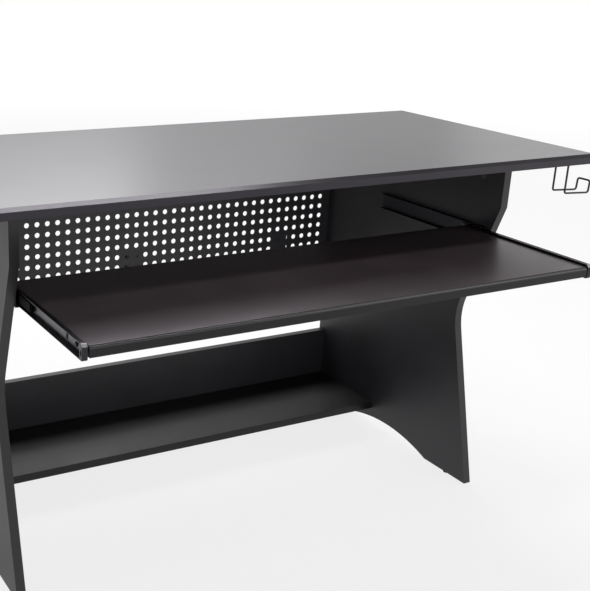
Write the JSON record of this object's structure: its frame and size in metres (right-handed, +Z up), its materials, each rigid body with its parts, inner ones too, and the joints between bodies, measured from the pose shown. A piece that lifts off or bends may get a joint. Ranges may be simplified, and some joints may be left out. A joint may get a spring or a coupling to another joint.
{
  "type": "studio desk",
  "caption": "Wide desk on two waisted panel sides with a perforated steel back panel, a pull-out keyboard tray on ball slides, a low shelf and a wire headphone hook.",
  "frame": {"origin": "on the floor, under the middle of the whole desk's bounding box with the keyboard tray pulled out", "axes": "+X to the right as seen from the front, +Y to the back, +Z up"},
  "size_m": [1.56, 0.8934, 0.75],
  "materials": {
    "desktop_melamine": "semi-gloss black melamine on chipboard",
    "board_melamine": "satin black melamine on chipboard",
    "painted_steel": "satin black powder coat",
    "slide_steel": "dark plated cold-rolled steel",
    "zinc": "zinc plated",
    "nickel": "nickel plated",
    "black_plastic": "moulded",
    "beech": "bare beech"
  },
  "bodies": {
    "desk": {"desktop": "desktop_melamine", "side_panel_left": "board_melamine", "side_panel_right": "board_melamine", "stretcher": "board_melamine", "lower_shelf": "board_melamine", "perforated_panel": "painted_steel", "rear_plate_left": "painted_steel", "rear_plate_right": "painted_steel", "rear_plate_bolt_left": "black_plastic", "rear_plate_bolt_right": "black_plastic", "headphone_hook": "painted_steel", "sheet_screw_upper_left": "nickel", "sheet_screw_lower_left": "nickel", "sheet_screw_upper_right": "nickel", "sheet_screw_lower_right": "nickel", "slide_outer_left": "slide_steel", "slide_outer_right": "slide_steel", "slide_screw_front_left": "slide_steel", "slide_screw_rear_left": "slide_steel", "slide_screw_front_right": "slide_steel", "slide_screw_rear_right": "slide_steel", "desktop_cam_disc_front_left": "zinc", "desktop_cam_disc_rear_left": "zinc", "desktop_cam_disc_front_right": "zinc", "desktop_cam_disc_rear_right": "zinc", "desktop_cam_bolt_front_left": "nickel", "desktop_cam_bolt_rear_left": "nickel", "desktop_cam_bolt_front_right": "nickel", "desktop_cam_bolt_rear_right": "nickel", "desktop_dowel_left": "beech", "desktop_dowel_right": "beech", "stretcher_cam_disc_left": "zinc", "stretcher_cam_disc_right": "zinc", "stretcher_cam_bolt_left": "nickel", "stretcher_cam_bolt_right": "nickel", "stretcher_dowel_left": "beech", "stretcher_dowel_right": "beech", "shelf_cam_disc_left": "zinc", "shelf_cam_disc_right": "zinc", "shelf_cam_bolt_left": "nickel", "shelf_cam_bolt_right": "nickel", "shelf_dowel_left": "beech", "shelf_dowel_right": "beech", "foot_glide_front_left": "black_plastic", "foot_glide_rear_left": "black_plastic", "foot_glide_front_right": "black_plastic", "foot_glide_rear_right": "black_plastic"},
    "tray": {"tray_board": "desktop_melamine", "slide_inner_left": "slide_steel", "slide_inner_right": "slide_steel", "slide_stop_left": "black_plastic", "slide_stop_right": "black_plastic", "tray_screw_front_left": "zinc", "tray_screw_rear_left": "zinc", "tray_screw_front_right": "zinc", "tray_screw_rear_right": "zinc"},
    "cage_left": {"ball_cage_left": "zinc"},
    "cage_right": {"ball_cage_right": "zinc"}
  },
  "joints": [
    {"name": "tray_slide", "type": "slide", "parent": "desk", "child": "tray", "axis": [0, 1, 0], "range_m": [0, 0.25]},
    {"name": "cage_slide_left", "type": "slide", "parent": "desk", "child": "cage_left", "axis": [0, 1, 0], "range_m": [0, 0.125]},
    {"name": "cage_slide_right", "type": "slide", "parent": "desk", "child": "cage_right", "axis": [0, 1, 0], "range_m": [0, 0.125]}
  ],
  "couplings": [
    {"joint": "cage_slide_left", "follows": "tray_slide", "ratio": 0.5},
    {"joint": "cage_slide_right", "follows": "tray_slide", "ratio": 0.5}
  ]
}
